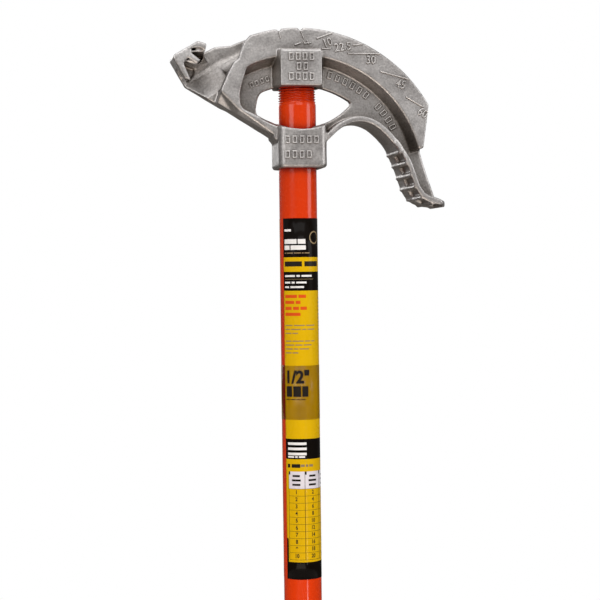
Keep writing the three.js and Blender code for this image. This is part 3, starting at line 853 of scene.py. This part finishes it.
def picture_block(sheet):
    """Plain striped panel with a line of print under it."""
    left, top, width, stripe = MARGIN + 4, 157.4, 14.0, 1.8
    for i in range(3):
        sheet.patch(left, top + 2 * stripe * i, width, stripe, WHITE_INK)
    sheet.line_of_words(left, 167.0, [5.0, 1.8, 4.4], 1.2, WHITE_INK, 0.8)


def side_block(sheet):
    """Small print round the side and the back of the yellow field, and a striped patch."""
    widths = [7, 4, 9, 5, 6, 3]
    for column in range(3):
        rows = []
        for row in range(9):
            shift = (row + 2 * column) % len(widths)
            rows.append([widths[shift] * 0.8, widths[shift - 1] * 0.8])
        small_print(sheet, MARGIN + 118 + 62 * column, 56.0, rows)
    for row in range(12):
        sheet.patch(MARGIN + 180, 86.0 + 1.25 * row, 14.0, 0.35 + 0.3 * (row % 3 == 1), DARK_INK)


def table_rules(sheet):
    """The lines between the table's columns and rows."""
    bottom = TABLE_HEAD + TABLE_ROW * TABLE_ROWS
    for column in range(TABLE_COLUMNS + 1):
        sheet.patch(TABLE_LEFT + TABLE_COLUMN * column, TABLE_TOP, 0.3, bottom - TABLE_TOP, DARK_INK)
    for row in range(TABLE_ROWS + 1):
        width = math.radians(TABLE_COLUMN * TABLE_COLUMNS) * LABEL_RADIUS
        sheet.patch(TABLE_LEFT, TABLE_HEAD + TABLE_ROW * row, width, 0.22, DARK_INK)


def table_headings(sheet):
    """Three bars at the head of each column, and a small corner beside its line."""
    for column in range(TABLE_COLUMNS):
        left = TABLE_LEFT + TABLE_COLUMN * column
        sheet.patch(left, TABLE_TOP, 1.4, 2.2, DARK_INK)
        for i, width in enumerate((5.4, 6.6, 6.0)):
            shift = math.degrees(width / 2 / LABEL_RADIUS)
            sheet.patch(left + TABLE_COLUMN / 2 - shift, 180.3 + 3.1 * i, width, 1.4, DARK_INK)


def table_numbers(sheet):
    """Plain numbers, each its row times its column."""
    for row in range(TABLE_ROWS):
        drop = TABLE_HEAD + TABLE_ROW * (row + 0.5)
        for column in range(TABLE_COLUMNS):
            number = str((row + 1) * (column + 1))
            place = TABLE_LEFT + TABLE_COLUMN * column + TABLE_COLUMN / 2
            sheet.text(number, place, drop, 2.7, DARK_INK, PRINT_WEIGHT)


def table_block(sheet):
    """The table, under two rows of bars."""
    sheet.line_of_words(TABLE_LEFT - 3, 172.6, [2.2, 6.4], 2.6, DARK_INK, 1.2)
    sheet.line_of_words(TABLE_LEFT + 40, 172.9, [2.8, 1.8, 3.0], 1.7, BROWN_INK, 0.8)
    table_rules(sheet)
    table_headings(sheet)
    table_numbers(sheet)


def label_print(*inks):
    """Everything printed on the label."""
    sheet = Print(LABEL_RADIUS + LABEL_THICKNESS)
    for block in (top_block, name_block, text_block, side_block, picture_block, table_block):
        block(sheet)
    return sheet.finish("label_print", "label_film", *inks)


def sticker_sheet(film):
    """The sticker's clear film."""
    drops = [STICKER_DROP, STICKER_DROP + STICKER_LENGTH]
    bm = wrapped_sheet(STICKER_RADIUS, STICKER_THICKNESS, STICKER_START, STICKER_SWEEP, drops)
    mesh = mesh_of(bm, "sticker_sheet")
    paint_mesh(mesh, film)
    return add_piece("sticker_sheet", mesh, "handle", "sticker_film", "size_sticker")


def sticker_print(ink):
    """The size in large numerals, with heavy bars and a row of small ones under it."""
    sheet = Print(STICKER_RADIUS + STICKER_THICKNESS)
    sheet.text('1/2"', MARGIN + 36, STICKER_DROP + 8.4, 8.4, 0, 0.5, 0.95)
    sheet.line_of_words(MARGIN + 2, STICKER_DROP + 14.4, [4.6, 5.6, 4.4], 7.4, 0, 0.9)
    sheet.line_of_words(MARGIN, STICKER_DROP + 23.4, [3, 4, 2.6, 3], 0.6, 0, 0.7)
    return sheet.finish("sticker_print", "sticker_film", ink)


# ---- Stage ---------------------------------------------------------------------------------

def floor(material):
    """Round floor, which isn't part of the object."""
    bm = bmesh.new()
    bmesh.ops.create_circle(bm, cap_ends=True, radius=FLOOR_RADIUS, segments=96)
    mesh = mesh_of(bm, "floor")
    paint_mesh(mesh, material)
    piece = bpy.data.objects.new("floor", mesh)
    bpy.context.scene.collection.objects.link(piece)


def room_light(nodes, links):
    """Soft light that is warm and dim from below, and bright from above."""
    light = nodes.new("ShaderNodeBackground")
    place = nodes.new("ShaderNodeTexCoord")
    split = nodes.new("ShaderNodeSeparateXYZ")
    links.new(place.outputs["Generated"], split.inputs["Vector"])
    ramp = nodes.new("ShaderNodeValToRGB")
    ramp.color_ramp.elements[0].position = 0.3
    ramp.color_ramp.elements[0].color = (0.1, 0.085, 0.07, 1)
    ramp.color_ramp.elements[1].position = 0.9
    ramp.color_ramp.elements[1].color = (0.8, 0.8, 0.82, 1)
    shift = nodes.new("ShaderNodeMath")
    shift.operation = "MULTIPLY_ADD"
    shift.inputs[1].default_value = 0.5
    shift.inputs[2].default_value = 0.5
    links.new(split.outputs["Z"], shift.inputs[0])
    links.new(shift.outputs["Value"], ramp.inputs["Fac"])
    links.new(ramp.outputs["Color"], light.inputs["Color"])
    light.inputs["Strength"].default_value = 0.55
    return light


def white_world():
    """White behind the object, and the room's light on the object itself."""
    world = bpy.data.worlds.new("studio")
    bpy.context.scene.world = world
    world.use_nodes = True
    nodes, links = world.node_tree.nodes, world.node_tree.links
    seen = nodes["Background"]
    seen.inputs["Color"].default_value = (1, 1, 1, 1)
    seen.inputs["Strength"].default_value = 1.0
    light = room_light(nodes, links)
    choose = nodes.new("ShaderNodeMixShader")
    path = nodes.new("ShaderNodeLightPath")
    links.new(path.outputs["Is Camera Ray"], choose.inputs["Fac"])
    links.new(light.outputs["Background"], choose.inputs[1])
    links.new(seen.outputs["Background"], choose.inputs[2])
    links.new(choose.outputs["Shader"], nodes["World Output"].inputs["Surface"])


def soft_light(name, place, target, width, height, power, color=(1, 1, 1)):
    """Rectangular light that faces its target."""
    data = bpy.data.lights.new(name, "AREA")
    data.color = color
    data.shape = "RECTANGLE"
    data.size = width
    data.size_y = height
    data.energy = power
    lamp = bpy.data.objects.new(name, data)
    lamp.location = place
    lamp.rotation_euler = (Vector(target) - Vector(place)).to_track_quat("-Z", "Y").to_euler()
    bpy.context.scene.collection.objects.link(lamp)


def studio_lights():
    """Lights round the head, a narrow one low down for the pipe's highlight, and one from behind."""
    soft_light("key", (0.2, -1.9, 2.2), LIGHT_TARGET, 1.4, 1.1, 17)
    soft_light("left", (-1.4, -1.4, 1.6), LIGHT_TARGET, 1.0, 1.2, 14)
    soft_light("right", (1.8, -0.9, 1.4), LIGHT_TARGET, 0.9, 1.2, 14)
    soft_light("top", (0.0, -0.3, 2.3), LIGHT_TARGET, 1.2, 0.9, 8)
    soft_light("bounce", (-0.3, -0.8, 0.1), LIGHT_TARGET, 0.9, 0.6, 7, (1.0, 0.88, 0.78))
    soft_light("strip", (0.45, -1.3, 0.3), (0.0, 0.0, 0.5), 0.12, 0.5, 1.6)
    soft_light("back", (-0.3, 1.9, 1.6), LIGHT_TARGET, 1.3, 1.2, 12)


def camera():
    """Nearly level eye a little below the head and to its left, with the picture turned a touch."""
    distance, eye_height, yaw = 1167.0, -63.7, math.radians(10)
    sight = Vector((math.sin(yaw), math.cos(yaw), 0))
    side = Vector((math.cos(yaw), -math.sin(yaw), 0))
    up = Vector((0, 0, 1))
    roll, tilt, pan = 0.0125, 0.01701, 0.0004
    aim = (sight - up * tilt + side * pan).normalized()
    right = (side * math.cos(roll) - up * math.sin(roll)).normalized()
    right = (right - aim * right.dot(aim)).normalized()
    above = right.cross(aim)
    data = bpy.data.cameras.new("camera")
    data.sensor_width = 36
    data.lens = 98.76
    eye = bpy.data.objects.new("camera", data)
    place = (-sight * distance + up * (eye_height + BEND_CENTRE)) * MM
    rotation = Matrix((right, above, -aim)).transposed().to_4x4()
    eye.matrix_world = Matrix.Translation(place) @ rotation
    bpy.context.scene.collection.objects.link(eye)
    bpy.context.scene.camera = eye


# ---- Build ---------------------------------------------------------------------------------

def main():
    """Builds the pieces and the stage."""
    head_surface(cast_aluminium("cast_aluminium", 1.0, 0.12))
    # The raised marks get a paler copy of the casting with strongly paler edges: partly worn metal, partly
    # painted highlight.
    raised_marks(cast_aluminium("cast_marks", 1.25, 0.8))
    pipe_surface(powder_coat())
    cap_surface(vinyl())
    yellow = printed_film("label_yellow", (0.58, 0.345, 0.002), (0.67, 0.405, 0.003), 0.24, 0.05)
    black = printed_film("label_black", (0.003, 0.002, 0.0015), (0.006, 0.004, 0.003), 0.3, 0.02)
    pale = printed_film("label_pale", (0.6, 0.56, 0.6), (0.7, 0.66, 0.7))
    label_sheet(yellow, black, pale)
    white_ink = printed_film("white_ink", (0.7, 0.68, 0.66), (0.8, 0.78, 0.77), 0.35)
    dark_ink = printed_film("dark_ink", (0.01, 0.008, 0.006), (0.02, 0.016, 0.012), 0.35)
    red_ink = printed_film("red_ink", (0.55, 0.06, 0.006), (0.66, 0.09, 0.01), 0.35)
    brown_ink = printed_film("brown_ink", (0.2, 0.14, 0.07), (0.3, 0.22, 0.12), 0.35)
    label_print(white_ink, dark_ink, red_ink, brown_ink)
    sticker_sheet(tinted_film())
    sticker_print(dark_ink)
    floor(floor_paint())
    white_world()
    studio_lights()
    camera()
    bpy.context.scene.view_settings.view_transform = "Standard"
    bpy.context.scene.view_settings.look = "None"


main()
